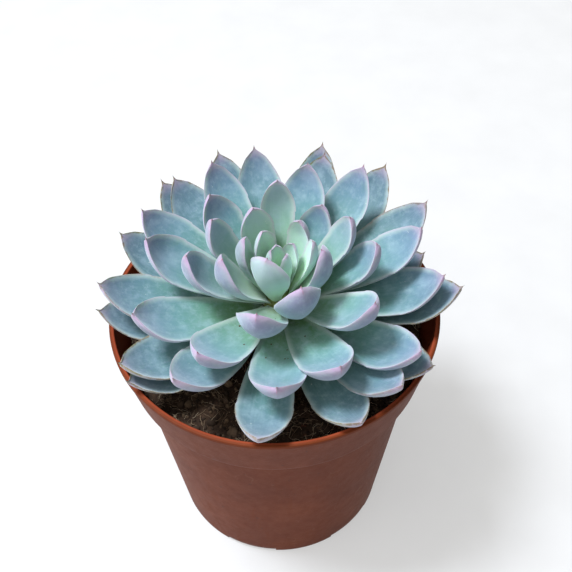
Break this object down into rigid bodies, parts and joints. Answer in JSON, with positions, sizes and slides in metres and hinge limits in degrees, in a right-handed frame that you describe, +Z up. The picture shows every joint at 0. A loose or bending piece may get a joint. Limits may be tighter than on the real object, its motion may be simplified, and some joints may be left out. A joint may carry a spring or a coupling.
{
  "type": "potted succulent",
  "caption": "Rosette succulent with fleshy, pointed, spoon-shaped leaves, rooted in potting soil in a round tapered nursery pot that stands on a flat surface.",
  "frame": {"origin": "centre of the pot's flat base, on the surface it stands on", "axes": "+Z up along the pot's axis; -Y towards the side that the rosette leans to; +X to the right seen from that side"},
  "size_m": [0.1256, 0.1251, 0.1585],
  "materials": {
    "pot_plastic": "moulded terracotta-coloured plastic, faintly scuffed, brighter on the rim and inside",
    "peat": "dark damp peat mix with fibres and grains",
    "stem_skin": "green-brown fleshy stem skin",
    "leaf_skin": "waxy blue-green leaf skin, paler margin, pink edge and point, lilac underside"
  },
  "bodies": {
    "root": {"nursery_pot": "pot_plastic", "potting_soil": "peat", "stem": "stem_skin", "heart_bud": "leaf_skin", "leaf_01": "leaf_skin", "leaf_02": "leaf_skin", "leaf_03": "leaf_skin", "leaf_04": "leaf_skin", "leaf_05": "leaf_skin", "leaf_06": "leaf_skin", "leaf_07": "leaf_skin", "leaf_08": "leaf_skin", "leaf_09": "leaf_skin", "leaf_10": "leaf_skin", "leaf_11": "leaf_skin", "leaf_12": "leaf_skin", "leaf_13": "leaf_skin", "leaf_14": "leaf_skin", "leaf_15": "leaf_skin", "leaf_16": "leaf_skin", "leaf_17": "leaf_skin", "leaf_18": "leaf_skin", "leaf_19": "leaf_skin", "leaf_20": "leaf_skin", "leaf_21": "leaf_skin", "leaf_22": "leaf_skin", "leaf_23": "leaf_skin", "leaf_24": "leaf_skin", "leaf_25": "leaf_skin", "leaf_26": "leaf_skin", "leaf_27": "leaf_skin", "leaf_28": "leaf_skin", "leaf_29": "leaf_skin", "leaf_30": "leaf_skin", "leaf_31": "leaf_skin", "leaf_32": "leaf_skin", "leaf_33": "leaf_skin", "leaf_34": "leaf_skin", "leaf_35": "leaf_skin", "leaf_36": "leaf_skin", "leaf_37": "leaf_skin", "leaf_38": "leaf_skin", "leaf_39": "leaf_skin", "leaf_40": "leaf_skin", "leaf_41": "leaf_skin", "leaf_42": "leaf_skin", "leaf_43": "leaf_skin", "leaf_44": "leaf_skin", "leaf_45": "leaf_skin", "leaf_46": "leaf_skin", "leaf_47": "leaf_skin", "leaf_48": "leaf_skin", "leaf_49": "leaf_skin", "leaf_50": "leaf_skin", "leaf_51": "leaf_skin"}
  },
  "joints": []
}
